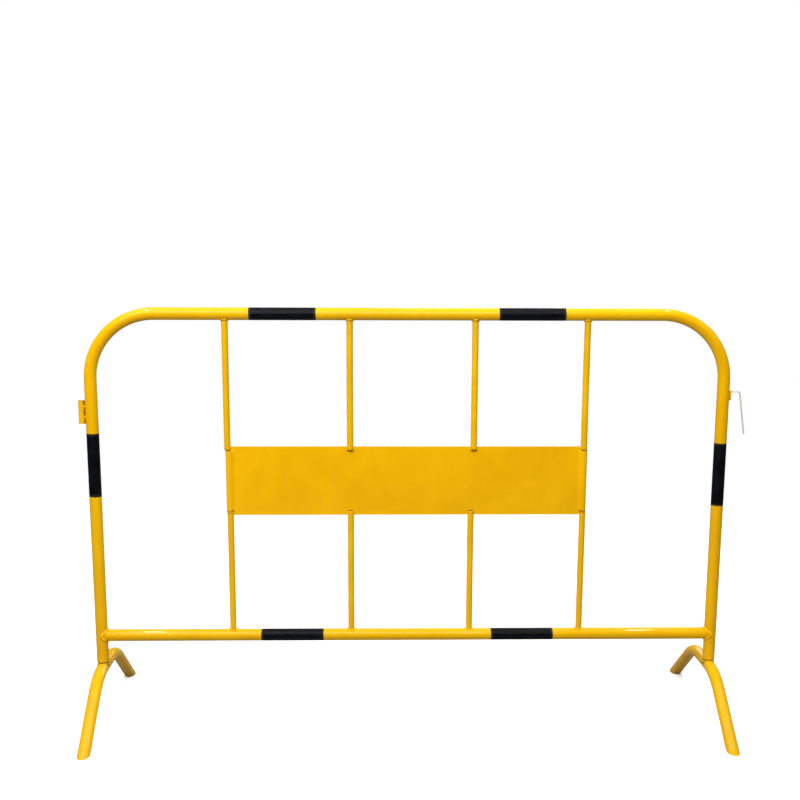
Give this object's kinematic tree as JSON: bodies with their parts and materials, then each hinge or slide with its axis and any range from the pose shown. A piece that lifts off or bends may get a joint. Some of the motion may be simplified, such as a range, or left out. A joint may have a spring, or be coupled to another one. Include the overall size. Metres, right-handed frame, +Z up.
{
  "type": "crowd control barrier",
  "caption": "Steel pedestrian barrier: a bent tube hoop with upright bars, a blank sign panel, black bands, arched plug-in feet, and a hook and socket to link it in a row.",
  "frame": {"origin": "On the ground, at the middle of the overall length and depth.", "axes": "+X along the barrier towards the hook, +Y to the back, away from the shorter halves of the feet, +Z up."},
  "size_m": [1.5576, 0.5756, 0.9904],
  "materials": {
    "yellow_paint": "gloss yellow enamel on steel tube",
    "panel_paint": "gloss yellow enamel on sheet steel",
    "weld_paint": "gloss yellow enamel over weld beads",
    "black_film": "smooth black film, wrapped",
    "zinc": "bright zinc plating"
  },
  "bodies": {
    "frame": {"hoop_tube": "yellow_paint", "bottom_rail": "yellow_paint", "upper_bar_1": "yellow_paint", "upper_bar_2": "yellow_paint", "upper_bar_3": "yellow_paint", "upper_bar_4": "yellow_paint", "lower_bar_1": "yellow_paint", "lower_bar_2": "yellow_paint", "lower_bar_3": "yellow_paint", "lower_bar_4": "yellow_paint", "sign_panel": "panel_paint", "top_band_left": "black_film", "top_band_right": "black_film", "low_band_left": "black_film", "low_band_right": "black_film", "leg_band_left": "black_film", "leg_band_right": "black_film", "rail_welds": "weld_paint", "upper_bar_welds": "weld_paint", "lower_bar_welds": "weld_paint", "panel_welds": "weld_paint", "link_hook": "zinc", "hook_weld": "weld_paint", "link_socket": "yellow_paint", "socket_welds": "weld_paint"},
    "left_foot": {"foot_left": "yellow_paint", "spigot_left": "yellow_paint"},
    "right_foot": {"foot_right": "yellow_paint", "spigot_right": "yellow_paint"}
  },
  "joints": [
    {"name": "left_foot_swivel", "type": "hinge", "parent": "frame", "child": "left_foot", "pos_m": [-0.74846, -0.035, 0.1426], "axis": [0, 0, 1], "continuous": true},
    {"name": "right_foot_swivel", "type": "hinge", "parent": "frame", "child": "right_foot", "pos_m": [0.72294, -0.035, 0.1426], "axis": [0, 0, 1], "continuous": true}
  ]
}
